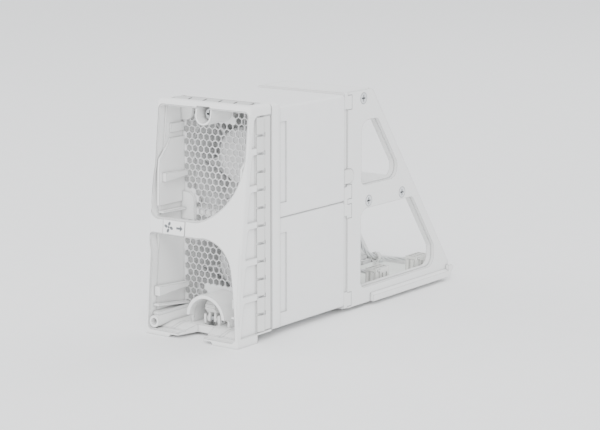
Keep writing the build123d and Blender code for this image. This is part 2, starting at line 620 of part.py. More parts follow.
# ---------------------------------------------------------------- fans
def fan_housing(centre):
    """The square housing: bore, flanges with corner blocks, and the spider that holds both motors."""
    body = block((-HALF_FAN, HALF_FAN), (FAN_FRONT_Y, FAN_REAR_Y), (centre - HALF_FAN, centre + HALF_FAN))
    body = fillet(body.edges().filter_by(Axis.Y), EDGE_ROUND)
    waist = HALF_FAN - RELIEF
    reach = HALF_FAN - CORNER_BLOCK
    low, high = FAN_FRONT_Y - 1, FAN_FRONT_Y + FLANGE
    for side in (-1, 1):
        x_range = sorted((side * waist, side * (HALF_FAN + 1)))
        body -= block(x_range, (low, high), (centre - reach, centre + reach))
        z_range = sorted((centre + side * waist, centre + side * (HALF_FAN + 1)))
        body -= block((-reach, reach), (low, high), z_range)
    body -= rod(BORE_R, (0, FAN_FRONT_Y - 1, centre), (0, FAN_REAR_Y + 1, centre))
    low, high = FAN_MID_Y - SPIDER_T / 2, FAN_MID_Y + SPIDER_T / 2
    spider = rod(SPIDER_R, (0, low, centre), (0, high, centre))
    strut = block((SPIDER_R - 2, BORE_R + 0.8), (low, high), (-1.1, 1.1))
    for index in range(STRUTS):
        spider += Pos(0, 0, centre) * (Rot(0, index * 360 / STRUTS + 10, 0) * strut)
    tube_r = BEARING_R + TUBE_WALL
    spider += rod(tube_r, (0, FAN_MID_Y - MOTOR_TUBE, centre), (0, FAN_MID_Y + MOTOR_TUBE, centre))
    spider -= rod(BEARING_R, (0, FAN_MID_Y - MOTOR_TUBE - 1, centre), (0, FAN_MID_Y + MOTOR_TUBE + 1, centre))
    body += spider
    for x, z in fan_screw_spots():
        if abs(z - centre) < HALF_FAN:
            body -= rod(M4_R + 0.15, (x, FAN_FRONT_Y - 1, z), (x, FAN_FRONT_Y + 14, z))
            body -= rod(M4_R + 0.15, (x, FAN_REAR_Y + 1, z), (x, FAN_REAR_Y - 14, z))
    return body


def blade(reach, root_turn, tip_turn, thickness):
    """One blade that points along +X from the hub and sweeps along Y and Z."""
    sections = []
    for radius, turn in ((HUB_R - 1.2, root_turn), (TIP_R + 2.0, tip_turn)):
        plane = Plane((radius, 0, 0), x_dir=(0, 1, 0), z_dir=(1, 0, 0))
        start, end = (-reach / 2, -turn / 2), (reach / 2, turn / 2)
        bow = 0.10 * (reach * reach + turn * turn) ** 0.5
        middle = (bow * turn / reach * 0.5, -bow)
        back_start, back_end = (start[0], start[1] + thickness), (end[0], end[1] + thickness)
        back_middle = (middle[0], middle[1] + thickness * 1.5)
        outline = closed(
            ThreePointArc(start, middle, end),
            Line(end, back_end),
            ThreePointArc(back_end, back_middle, back_start),
            Line(back_start, start),
        )
        sections.append(plane * outline)
    return loft(sections)


def impeller(centre, facing, blades, hand):
    """An impeller whose closed hub end faces -Y (facing -1) or +Y (facing 1)."""
    near = FAN_MID_Y + facing * (SPIDER_T / 2 + HUB_GAP)
    far = near + facing * HUB_LENGTH
    hub = rod(HUB_R, (0, near, centre), (0, far, centre))
    end_face = hub.edges().group_by(Axis.Y)[0 if facing < 0 else -1]
    hub = fillet(end_face, 3.0)
    middle_y = (near + far) / 2
    one = blade(HUB_LENGTH - 5, hand * 13.0, hand * 24.0, 1.3)
    one &= rod(TIP_R, (0, -HUB_LENGTH, 0), (0, HUB_LENGTH, 0))
    for index in range(blades):
        hub += Pos(0, middle_y, centre) * (Rot(0, index * 360 / blades, 0) * one)
    hub -= rod(HUB_R - HUB_WALL, (0, near - facing, centre), (0, far - facing * 2.5, centre))
    return hub - rod(SHAFT_R, (0, near, centre), (0, far - facing * 1.0, centre))


def magnet_ring(centre, facing):
    """The magnet ring pressed into the hub."""
    low, high = (FAN_MID_Y + facing * distance for distance in (6.0, 28.0))
    outer = HUB_R - HUB_WALL
    start, end = (0, low, centre), (0, high, centre)
    return rod(outer, start, end) - rod(outer - 2.0, start, end)


def motor_shaft(centre, facing):
    """The shaft, fixed in the hub and running in two bearings."""
    hub_end = FAN_MID_Y + facing * (SPIDER_T / 2 + HUB_GAP + HUB_LENGTH - 1.0)
    return rod(SHAFT_R, (0, FAN_MID_Y + facing * 1.0, centre), (0, hub_end, centre))


def bearings(centre):
    """Four ball bearings, two to each motor."""
    rings = []
    for facing in (-1, 1):
        for distance in (3.0, MOTOR_TUBE - BEARING_W - 0.5):
            low, high = (FAN_MID_Y + facing * d for d in (distance, distance + BEARING_W))
            ring = rod(BEARING_R, (0, low, centre), (0, high, centre))
            rings.append(ring - rod(SHAFT_R + RUNNING_FIT, (0, low, centre), (0, high, centre)))
    return rings


def stator(centre, facing):
    """One motor's laminated core and the coils on its six teeth."""
    low, high = sorted(FAN_MID_Y + facing * d for d in (9.0, 20.0))
    bore = BEARING_R + TUBE_WALL
    start, end = (0, low, centre), (0, high, centre)
    core = rod(bore + 1.8, start, end) - rod(bore, start, end)
    tooth = block((bore + 1.2, 15.0), (low, high), (-1.2, 1.2))
    shoe = rod(16.4, (0, low, 0), (0, high, 0)) - rod(15.0, (0, low, 0), (0, high, 0))
    shoe &= block((0, 20), (low, high), (-5.2, 5.2))
    coil = block((9.4, 14.6), (low - 1.2, high + 1.2), (-3.2, 3.2)) - block((9, 15), (low, high), (-1.2, 1.2))
    coils = []
    for index in range(6):
        turn = Rot(0, index * 60, 0)
        core += Pos(0, 0, centre) * (turn * (tooth + shoe))
        coils.append(Pos(0, 0, centre) * (turn * coil))
    return core, coils


def motor_boards(centre):
    """The two driver boards, one on each side of the spider."""
    boards = []
    for facing in (-1, 1):
        low, high = (FAN_MID_Y + facing * d for d in (SPIDER_T / 2 + 0.4, SPIDER_T / 2 + 1.6))
        board = rod(17.0, (0, low, centre), (0, high, centre))
        boards.append(board - rod(BEARING_R + TUBE_WALL + 0.2, (0, low, centre), (0, high, centre)))
    return boards


# ---------------------------------------------------------------- rear carrier
def slope_y(z):
    """Where the sloping rear edge is at a height."""
    (y_top, z_top), (y_low, z_low) = SLOPE
    return y_top + (z_top - z) * (y_low - y_top) / (z_top - z_low)


def rounded_polygon(points, radii):
    """A polygon in (y, z) with each corner rounded by its own radius."""
    return make_face(FilletPolyline(*points, radius=radii, close=True))


def window(upper, grow=0.0):
    """A side window in (y, z); the rear edge follows the slope."""
    if upper:
        low, top, edge_in = 94.0, 143.3, 9.4
        points = [(13.9, low), (slope_y(low) - edge_in, low), (slope_y(top) - edge_in, top), (13.9, top)]
        radii = [5.0, 9.0, 4.5, 9.0]
    else:
        low, top, edge_in = 15.1, 76.0, 9.4
        knee = 31.7
        points = [
            (13.5, low), (slope_y(knee) - edge_in, low), (slope_y(knee) - edge_in, knee),
            (slope_y(top) - edge_in, top), (13.5, top),
        ]
        radii = [5.0, 9.0, 8.0, 5.0, 8.0]
    face = rounded_polygon(points, radii)
    return offset(face, amount=grow) if grow else face


def right_side_plate():
    """The moulded right side of the carrier, with two framed windows."""
    inner = HALF_FAN - PLATE_T
    top_front = (RING_REAR_Y, CARRIER_TOP)
    slope_top = (slope_y(CARRIER_TOP), CARRIER_TOP)
    rear = 138.6
    points = [
        (RING_REAR_Y, TRAY_LOW_Z), (RAIL_FRONT_Y, TRAY_LOW_Z), (RAIL_FRONT_Y, RAIL_TOP_Z), (rear, RAIL_TOP_Z),
        (rear, 14.6), slope_top, top_front,
    ]
    radii = [0.4, 0.4, 0.4, 0.4, 3.0, 6.5, 0.4]
    plate = across(rounded_polygon(points, radii), inner, HALF_FAN)
    for upper in (True, False):
        plate -= across(window(upper), inner - 1, HALF_FAN + 1)
        flange = across(window(upper, 1.6), inner - WINDOW_FLANGE, inner)
        plate += flange - across(window(upper, -WINDOW_LIP), inner - WINDOW_FLANGE - 1, inner + 1)
    for z in TABS:
        z_range = (z - TAB_HEIGHT / 2 - TAB_GAP, z + TAB_HEIGHT / 2 + TAB_GAP)
        y_range = (RING_REAR_Y - 1, RING_REAR_Y + TAB_LENGTH + TAB_GAP)
        plate -= block((inner - 1, HALF_FAN + 1), y_range, z_range)
    plate -= across(grommet_outline(TAB_GAP), inner - 1, HALF_FAN + 1)
    for y, z in BRACKET_SCREWS:
        plate -= rod(M4_R + 0.2, (inner - 1, y, z), (HALF_FAN + 1, y, z))
        plate -= countersink(y, z, 0.1)
    for y in (8.0, 121.0):
        foot = block((HALF_FAN - 9.2, inner + 0.5), (y, y + 12.0), (TRAY_TOP_Z, TRAY_TOP_Z + 3.2))
        if y > RAIL_FRONT_Y:
            foot += block((inner - 2.0, inner + 0.5), (y, y + 12.0), (TRAY_TOP_Z, RAIL_TOP_Z + 2.0))
            foot -= block((inner - 0.01, HALF_FAN), (y - 1, y + 13.0), (0, RAIL_TOP_Z))
        foot -= rod(M3_R - 0.1, (34.0, y + 6.0, 0), (34.0, y + 6.0, 20))
        plate += foot
    return plate


def grommet_outline(margin=0.0):
    """The D of the lead grommet, in (y, z)."""
    radius = GROMMET_HEIGHT / 2 + margin
    straight = 3.6 - GROMMET_HEIGHT / 2
    low, high = GROMMET_Z - radius, GROMMET_Z + radius
    front = FAN_REAR_Y - margin
    return closed(
        Line((front, low), (straight, low)),
        ThreePointArc((straight, low), (straight + radius, GROMMET_Z), (straight, high)),
        Line((straight, high), (front, high)),
        Line((front, high), (front, low)),
    )


def lead_grommet():
    """The D-shaped grommet where the fan leads leave the housings."""
    outer = across(grommet_outline(), HALF_FAN - PLATE_T, HALF_FAN + 0.5)
    outer = chamfer(outer.faces().sort_by(Axis.X)[-1].edges(), 0.4)
    return outer


def countersink(y, z, margin=0.0):
    """The cone of an M4 countersunk head on the right side plate."""
    plane = Plane((HALF_FAN, y, z), z_dir=(-1, 0, 0))
    return extrude(plane * Circle(HEAD_R + margin), amount=2.3, taper=45)


def bracket_screws():
    """Six countersunk screws that hold the side plates to the shelf and the top plate."""
    screws = []
    for y, z in BRACKET_SCREWS:
        screw = countersink(y, z) + rod(M4_R, (HALF_FAN - 9, y, z), (HALF_FAN - 1.0, y, z))
        screw -= phillips(4.6, 1.8, (HALF_FAN, y, z), (1, 0, 0))
        screws += [screw, mirrored(screw)]
    return screws


def channel(y_range, top, depth, plate_t=2.5, wall=3.2):
    """A plate with two down-turned flanges between the side plates."""
    half = HALF_FAN - PLATE_T
    body = block((-half, half), y_range, (top - plate_t, top))
    for side in (-1, 1):
        body += block(sorted((side * (half - wall), side * half)), y_range, (top - depth, top))
    for y, z in BRACKET_SCREWS:
        if y_range[0] < y < y_range[1] and top - depth < z < top:
            body -= rod(M4_R, (-half - 1, y, z), (-half + wall + 8, y, z))
            body -= rod(M4_R, (half - wall - 8, y, z), (half + 1, y, z))
    return body


def mid_shelf():
    """The shelf between the fans' levels, notched for the upper fan's lead."""
    shelf = channel((RING_REAR_Y, 84.0), 90.5, 12.0)
    return shelf - block((20.0, 33.5), (RING_REAR_Y - 1, 26.0), (76, 92))


def rear_frame():
    """The ring behind the fans, with snap tabs for the side plates."""
    ring = block((-HALF_FAN, HALF_FAN), (FAN_REAR_Y, RING_REAR_Y), (TRAY_LOW_Z, CARRIER_TOP))
    ring = fillet(ring.edges().filter_by(Axis.Y), 1.6)
    reach = HALF_FAN - CORNER_BLOCK
    for centre in FAN_CENTRES.values():
        ring -= rod(BORE_R, (0, FAN_REAR_Y - 1, centre), (0, RING_REAR_Y + 1, centre))
        for side in (-1, 1):
            x_range = sorted((side * (HALF_FAN - RELIEF), side * (HALF_FAN + 1)))
            ring -= block(x_range, (FAN_REAR_Y - 1, RING_REAR_Y - 0.5), (centre - reach, centre + reach))
    tab_in = HALF_FAN - PLATE_T + 0.1
    for z in TABS:
        z_range = (z - TAB_HEIGHT / 2, z + TAB_HEIGHT / 2)
        tab = block((tab_in, HALF_FAN), (RING_REAR_Y - 1, RING_REAR_Y + TAB_LENGTH), z_range)
        ring += tab
        ring += mirrored(tab)
    ring -= across(grommet_outline(0.2), HALF_FAN - PLATE_T - 0.2, HALF_FAN + 1)
    for x, z in fan_screw_spots():
        ring -= rod(M4_R + 0.2, (x, FAN_REAR_Y - 1, z), (x, RING_REAR_Y + 1, z))
        ring -= rod(3.8, (x, RING_REAR_Y - PAN_HEAD, z), (x, RING_REAR_Y + 1, z))
    for name in LEAD_ROUTES:
        x, y, z = LEAD_ROUTES[name][0]
        ring -= block((x - 3.2, x + 3.2), (FAN_REAR_Y - 1, RING_REAR_Y + 1), (z - 3.2, z + 3.2))
    return ring


def base_tray():
    """The tray with its guide rails, rear lip and board bosses."""
    inner = HALF_FAN - PLATE_T
    outer = HALF_FAN + RAIL_OUT
    tray = block((-inner, inner), (RING_REAR_Y, RAIL_FRONT_Y), (TRAY_LOW_Z, TRAY_TOP_Z))
    tray += block((-inner, inner), (RAIL_FRONT_Y - 1, 137.6), (TRAY_LOW_Z, TRAY_TOP_Z))
    rail = polygon(
        (inner, TRAY_TOP_Z - 1),
        (inner, RAIL_TOP_Z),
        (HALF_FAN + 0.2, RAIL_TOP_Z),
        (outer, 7.8),
        (outer, TRAY_LOW_Z),
        (inner, TRAY_LOW_Z),
    )
    side_rail = along(rail, RAIL_FRONT_Y + 0.5, 137.6)
    tray += side_rail
    tray += mirrored(side_rail)
    lip = closed(
        Line((139.0, 7.6), (139.3, 7.6)),
        ThreePointArc((139.3, 7.6), (REAR_Y, 9.8), (139.3, 12.2)),
        Line((139.3, 12.2), (138.8, 12.4)),
        Line((138.8, 12.4), (134.5, 12.4)),
        Line((134.5, 12.4), (134.5, 4.0)),
        Line((134.5, 4.0), (138.0, 4.0)),
        Line((138.0, 4.0), (139.0, 7.6)),
    )
    rear_wall = across(lip, -outer, outer)
    rear_wall -= block((inner - 0.01, HALF_FAN + 0.2), (130, 138.8), (RAIL_TOP_Z, 20))
    rear_wall -= mirrored(block((inner - 0.01, HALF_FAN + 0.2), (130, 138.8), (RAIL_TOP_Z, 20)))
    tray += rear_wall
    for x, y in board_screw_spots():
        tray += rod(3.4, (x, y, TRAY_TOP_Z - 0.5), (x, y, BOARD_LOW_Z))
        tray -= rod(M3_R, (x, y, TRAY_TOP_Z - 1.5), (x, y, BOARD_LOW_Z + 1))
    for x, y in foot_screw_spots():
        tray -= rod(M3_R + 0.15, (x, y, TRAY_LOW_Z - 1), (x, y, TRAY_TOP_Z + 1))
        tray -= rod(3.0, (x, y, TRAY_LOW_Z - 1), (x, y, TRAY_LOW_Z + 1.2))
    return tray


def board_screw_spots():
    """The board's four corner screws, in (x, y)."""
    return [(x, y) for x in (BOARD_X[0] + 4, 12.0) for y in (BOARD_Y[0] + 4, BOARD_Y[1] - 4)]


def foot_screw_spots():
    """The screws from below into the side plates' feet, in (x, y)."""
    return [(x, y) for x in (-34.0, 34.0) for y in (14.0, 127.0)]


def board_screws():
    """Four M3 pan heads that hold the board down."""
    screws = []
    top = BOARD_LOW_Z + BOARD_T
    for x, y in board_screw_spots():
        screw = rod(2.8, (x, y, top), (x, y, top + 1.9))
        screw = chamfer(screw.edges().group_by(Axis.Z)[-1], 0.5)
        screw -= phillips(2.8, 1.0, (x, y, top + 1.9), (0, 0, 1))
        screws.append(screw + rod(M3_R - 0.02, (x, y, top), (x, y, TRAY_TOP_Z - 1.4)))
    return screws


def foot_screws():
    """Four M3 screws from below into the side plates' feet."""
    screws = []
    for x, y in foot_screw_spots():
        head = rod(2.8, (x, y, TRAY_LOW_Z + 0.2), (x, y, TRAY_LOW_Z + 1.2))
        head -= phillips(2.8, 0.7, (x, y, TRAY_LOW_Z + 0.2), (0, 0, -1))
        screws.append(head + rod(M3_R - 0.1, (x, y, TRAY_LOW_Z + 1.2), (x, y, TRAY_TOP_Z + 3.0)))
    return screws


def controller_board():
    """The connector board on the tray."""
    board = block(BOARD_X, BOARD_Y, (BOARD_LOW_Z, BOARD_LOW_Z + BOARD_T))
    board = fillet(board.edges().filter_by(Axis.Z), 2.0)
    for x, y in board_screw_spots():
        board -= rod(M3_R + 0.1, (x, y, 0), (x, y, 20))
    return board


def header_cells(y):
    """Where a header's eight pins stand, in (x, y)."""
    return [
        (HEADER_X + row * PIN_PITCH / 2, y + (step - (PINS_ALONG - 1) / 2) * PIN_PITCH)
        for row in (-1, 1)
        for step in range(PINS_ALONG)
    ]


def header(y, pins):
    """An upright two-row header: a well for each pin, a keyed end column, a T rib and side windows."""
    low = BOARD_LOW_Z + BOARD_T
    high = low + HEADER_HEIGHT
    x_range = (HEADER_X - HEADER_WIDTH / 2, HEADER_X + HEADER_WIDTH / 2)
    y_range = (y - HEADER_LENGTH / 2, y + HEADER_LENGTH / 2)
    face = x_range[1]
    body = chamfer(block(x_range, y_range, (low, high)).edges().filter_by(Axis.Z), 0.4)
    column = (x_range[0] + COLUMN_INSET, face - COLUMN_INSET)
    column_y = y_range[0] - COLUMN_DEPTH
    body += block(column, (column_y, y_range[0] + 0.2), (low, high - 2.4))
    body -= block((HEADER_X - 0.7, HEADER_X + 0.7), (column_y - 1, column_y + 0.8), (low + 1.6, high))
    for cell_x, cell_y in header_cells(y):
        half = WELL / 2
        body -= block((cell_x - half, cell_x + half), (cell_y - half, cell_y + half), (low + 3.0, high + 1))
    stem_y = y_range[0] + 5.0
    body += block((face - 0.1, face + T_RIB), (stem_y - 0.7, stem_y + 0.7), (low + 1.0, high - 1.0))
    body += block((face - 0.1, face + T_RIB), (stem_y - 3.2, stem_y + 0.7), (high - 2.2, high - 1.0))
    for window_y in (stem_y + 4.0, stem_y + 9.4):
        body -= block((face - 0.7, face + 1), (window_y - 0.7, window_y + 0.7), (low + 5.0, low + 8.6))
    for pin in pins:
        body -= pin
    return body


def header_pins():
    """The pins of both headers."""
    pins = []
    low = BOARD_LOW_Z
    for header_y in HEADERS.values():
        for x, y in header_cells(header_y):
            pin = block((x - 0.5, x + 0.5), (y - 0.5, y + 0.5), (low - 1.2, low + BOARD_T + 10.4))
            pins.append(chamfer(pin.edges().group_by(Axis.Z)[-1], 0.25))
    return pins


# ---------------------------------------------------------------- fan leads
HEADER_FACE = HEADER_X - HEADER_WIDTH / 2
LEAD_ROUTES = {
    "upper_fan_lead": [
        (27.0, FAN_REAR_Y, 103.0), (27.0, 4.0, 102.0), (27.0, 15.0, 92.0), (25.0, 23.0, 74.0),
        (20.0, 36.0, 58.0), (13.0, 50.0, 45.0), (10.0, 62.0, 33.0), (9.0, 74.0, 26.5), (8.0, 88.0, 22.5),
        (4.8, 101.0, 19.0), (6.6, 111.5, 17.4), (12.4, 117.0, 17.0), (HEADER_FACE, 117.0, 17.0),
    ],
    "lower_fan_lead": [
        (27.0, FAN_REAR_Y, 52.0), (27.0, 4.0, 51.0), (24.0, 17.0, 44.0), (16.0, 30.0, 34.0),
        (8.0, 42.0, 25.0), (4.8, 52.5, 19.0), (12.4, 60.0, 16.5), (HEADER_FACE, 60.0, 16.5),
    ],
}
CLIPPED_RUN = 7               # the upper lead's run that passes through the clip


def lead(name):
    """A sleeved fan lead along its route, as straight runs joined by tangent arcs."""
    points = [Vector(*point) for point in LEAD_ROUTES[name]]
    radii = []
    for before, corner, after in zip(points, points[1:], points[2:]):
        run_in, run_out = corner - before, after - corner
        turn = radians(run_in.get_angle(run_out))
        radii.append(0.45 * min(run_in.length, run_out.length) / tan(turn / 2))
    print(name, "arc radii", [round(radius, 1) for radius in radii])
    path = FilletPolyline(*points, radius=radii)
    tube = sweep(Plane(points[0], z_dir=path % 0) * Circle(LEAD_R), path=path)
    ratio = tube.volume / (pi * LEAD_R**2 * path.length)
    print(name, "length", round(path.length, 1), "volume ratio", round(ratio, 4))
    return tube


def lead_clip():
    """The post clip that holds the upper lead above the board."""
    route = LEAD_ROUTES["upper_fan_lead"]
    x, y, z = [(a + b) / 2 for a, b in zip(route[CLIPPED_RUN], route[CLIPPED_RUN + 1])]
    low = BOARD_LOW_Z + BOARD_T
    post = block((x - 1.6, x + 1.6), (y - 2.0, y + 2.0), (low, z - LEAD_R - 1.2))
    foot = block((x - 4.0, x + 4.0), (y - 4.0, y + 4.0), (low, low + 1.2))
    collar = rod(LEAD_R + 2.0, (x, y - 2.0, z), (x, y + 2.0, z))
    collar -= rod(LEAD_R + 0.9, (x, y - 3.0, z), (x, y + 3.0, z))
    collar -= block((x - 1.2, x + 1.2), (y - 3.0, y + 3.0), (z, z + 6.0))
    return foot + post + collar


# ---------------------------------------------------------------- write every sub-part
hood = front_hood()
ears, latch_pin = latch_pivots()
for ear in ears:
    hood += ear
save("front_hood", hood)
save("fan_label", label_plate())
save("hood_screws", *hood_screws())
save("captive_screw", captive_screw())
save("captive_screw_clip", screw_clip())
save("captive_screw_spring", coil_spring(3.2, 0.4, (0, SCREW_HEAD_Y + 5.0, PASSAGE_Z), 8.0, 4.5))
save("release_latch", release_latch())
save("latch_pin", latch_pin)
save("latch_spring", coil_spring(2.3, 0.35, (-1.3, PIVOT_Y, PIVOT_Z), 2.6, 3, axis=(1, 0, 0)))
for name, strips in finger_strips().items():
    save(name, *strips)
save("exhaust_grille", exhaust_grille())
save("front_frame", front_frame())
front_screws = [pan_head_screw(x, FAN_FRONT_Y - SCREW_SEAT, z, 16.0, -1) for x, z in front_screw_spots()]
save("fan_front_screws", *front_screws)
rear_screws = [pan_head_screw(x, RING_REAR_Y - PAN_HEAD, z, 14.0, 1) for x, z in fan_screw_spots()]
save("fan_rear_screws", *rear_screws)

for level, centre in FAN_CENTRES.items():
    save(f"{level}_fan_housing", fan_housing(centre))
    save(f"{level}_front_impeller", impeller(centre, -1, 7, 1))
    save(f"{level}_rear_impeller", impeller(centre, 1, 5, -1))
    save(f"{level}_bearings", *bearings(centre))
    save(f"{level}_motor_boards", *motor_boards(centre))
    cores, windings = [], []
    for end, facing in (("front", -1), ("rear", 1)):
        save(f"{level}_{end}_shaft", motor_shaft(centre, facing))
        save(f"{level}_{end}_magnet", magnet_ring(centre, facing))
        core, coils = stator(centre, facing)
        cores.append(core)
        windings += coils
    save(f"{level}_stator_cores", *cores)
    save(f"{level}_windings", *windings)

save("rear_frame", rear_frame())
plate = right_side_plate()
save("right_side_plate", plate)
left_plate = mirrored(plate)
save("left_side_plate", left_plate)
save("top_plate", channel((RING_REAR_Y, 27.5), CARRIER_TOP, 13.0))
save("mid_shelf", mid_shelf())
save("base_tray", base_tray())
save("bracket_screws", *bracket_screws())
save("foot_screws", *foot_screws())
save("lead_grommet", lead_grommet())
pins = header_pins()
board = controller_board()
for pin in pins:
    board -= pin
save("controller_board", board)
save("board_screws", *board_screws())
for name, y in HEADERS.items():
    save(name, header(y, pins))
save("header_pins", *pins)
for name in LEAD_ROUTES:
    save(name, lead(name))
save("lead_clip", lead_clip())
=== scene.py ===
"""The looks of a hot-swap fan module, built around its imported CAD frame.

Sizes are in millimetres unless a name says otherwise; mm() turns them into Blender's metres. The frame
is the CAD model's own: +X right, +Y towards the connectors, +Z up, and air leaves towards -Y.
"""

import json
import logging
from dataclasses import dataclass
from enum import Enum
from math import cos, pi, radians, sin

import bmesh
import bpy
from mathutils import Matrix, Vector


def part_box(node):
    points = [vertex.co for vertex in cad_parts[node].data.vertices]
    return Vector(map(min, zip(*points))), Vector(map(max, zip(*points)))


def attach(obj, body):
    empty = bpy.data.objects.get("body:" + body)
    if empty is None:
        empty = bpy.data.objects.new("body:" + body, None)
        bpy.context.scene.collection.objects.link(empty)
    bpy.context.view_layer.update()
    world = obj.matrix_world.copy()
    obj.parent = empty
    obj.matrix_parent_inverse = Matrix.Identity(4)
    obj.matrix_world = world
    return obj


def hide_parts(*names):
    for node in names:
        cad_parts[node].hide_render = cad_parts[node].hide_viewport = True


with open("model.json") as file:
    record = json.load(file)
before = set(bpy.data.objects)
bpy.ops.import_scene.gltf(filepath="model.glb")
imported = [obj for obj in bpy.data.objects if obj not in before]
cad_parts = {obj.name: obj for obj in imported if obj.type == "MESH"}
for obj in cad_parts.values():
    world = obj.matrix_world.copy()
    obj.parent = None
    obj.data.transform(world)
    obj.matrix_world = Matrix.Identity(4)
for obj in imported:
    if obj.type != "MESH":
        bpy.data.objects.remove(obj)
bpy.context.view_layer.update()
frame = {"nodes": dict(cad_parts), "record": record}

log = logging.getLogger("fan_module")
# the painted shade along sharp edges is full at the first cosine and gone by the second
EDGE_TURNED, EDGE_FLAT = 0.9, 0.995   # cosines between a rounded normal and its face: on an edge, off it
SHADE_SAMPLES = 6


# ---------------------------------------------------------------- units, nodes and meshes
def mm(value: float) -> float:
    """Millimetres in metres."""
    return value * 0.001


def linear(colour: str) -> tuple[float, float, float, float]:
    """Turn an sRGB hex colour into linear RGBA.

    Args:
        colour: Six hex digits with a leading hash.

    Returns:
        The linear red, green, blue and an alpha of 1.
    """
    channels = [int(colour[start:start + 2], 16) / 255 for start in (1, 3, 5)]
    red, green, blue = [c / 12.92 if c <= 0.04045 else ((c + 0.055) / 1.055) ** 2.4 for c in channels]
    return red, green, blue, 1.0


def add_node(
    tree: bpy.types.NodeTree, kind: str, settings: dict | None = None, inputs: dict | None = None
) -> bpy.types.Node:
    """Add one shader node.

    Args:
        tree: The material's node tree.
        kind: The node type without its ShaderNode prefix.
        settings: The node's own properties.
        inputs: Values or output sockets for its inputs, by name or place.

    Returns:
        The new node.
    """
    node = tree.nodes.new("ShaderNode" + kind)
    for name, value in (settings or {}).items():
        setattr(node, name, value)
    for name, value in (inputs or {}).items():
        if isinstance(value, bpy.types.NodeSocket):
            tree.links.new(value, node.inputs[name])
        else:
            node.inputs[name].default_value = value
    return node


def finish_piece(
    bm: bmesh.types.BMesh, name: str, material: bpy.types.Material, body: str = "root"
) -> bpy.types.Object:
    """Turn a bmesh into a piece of the object.

    Args:
        bm: The shape, in metres and in place. It is freed.
        name: The piece's name.
        material: Its finish.
        body: The body that it moves with.

    Returns:
        The new object.
    """
    bmesh.ops.recalc_face_normals(bm, faces=bm.faces[:])
    mesh = bpy.data.meshes.new(name)
    bm.to_mesh(mesh)
    bm.free()
    mesh.materials.append(material)
    piece = bpy.data.objects.new(name, mesh)
    bpy.context.collection.objects.link(piece)
    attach(piece, body)
    log.info("%s: %d faces", name, len(mesh.polygons))
    return piece


def add_bar(bm: bmesh.types.BMesh, size: tuple, place: Matrix, edge: float) -> None:
    """Add a block with rounded edges.

    Args:
        bm: The mesh to add to.
        size: Length, width and height in millimetres.
        place: Where its middle goes, in metres.
        edge: Radius of its edges in millimetres.
    """
    scaled = place @ Matrix.Diagonal([mm(value) for value in size] + [1.0])
    made = bmesh.ops.create_cube(bm, size=1.0, matrix=scaled)
    edges = {edge_of for vert in made["verts"] for edge_of in vert.link_edges}
    bmesh.ops.bevel(
        bm, geom=list(edges), offset=mm(edge), affect="EDGES", segments=3, profile=0.5, material=-1
    )


# ---------------------------------------------------------------- finishes
class Grain(Enum):
    """How a surface was made, which sets the fine pattern on it."""

    SPARKED = "sparked"            # the even pitted texture of a spark-eroded mould
    ROLLED = "rolled"              # fine lines along the rolling direction
    COATED = "coated"              # the soft orange peel of baked powder
    PRESSED = "pressed"            # granules pressed together
    STACKED = "stacked"            # sheets stacked along Y
    WOUND = "wound"                # turns of wire side by side
    BRAIDED = "braided"            # crossing threads
    MASKED = "masked"              # copper tracks under a lacquer


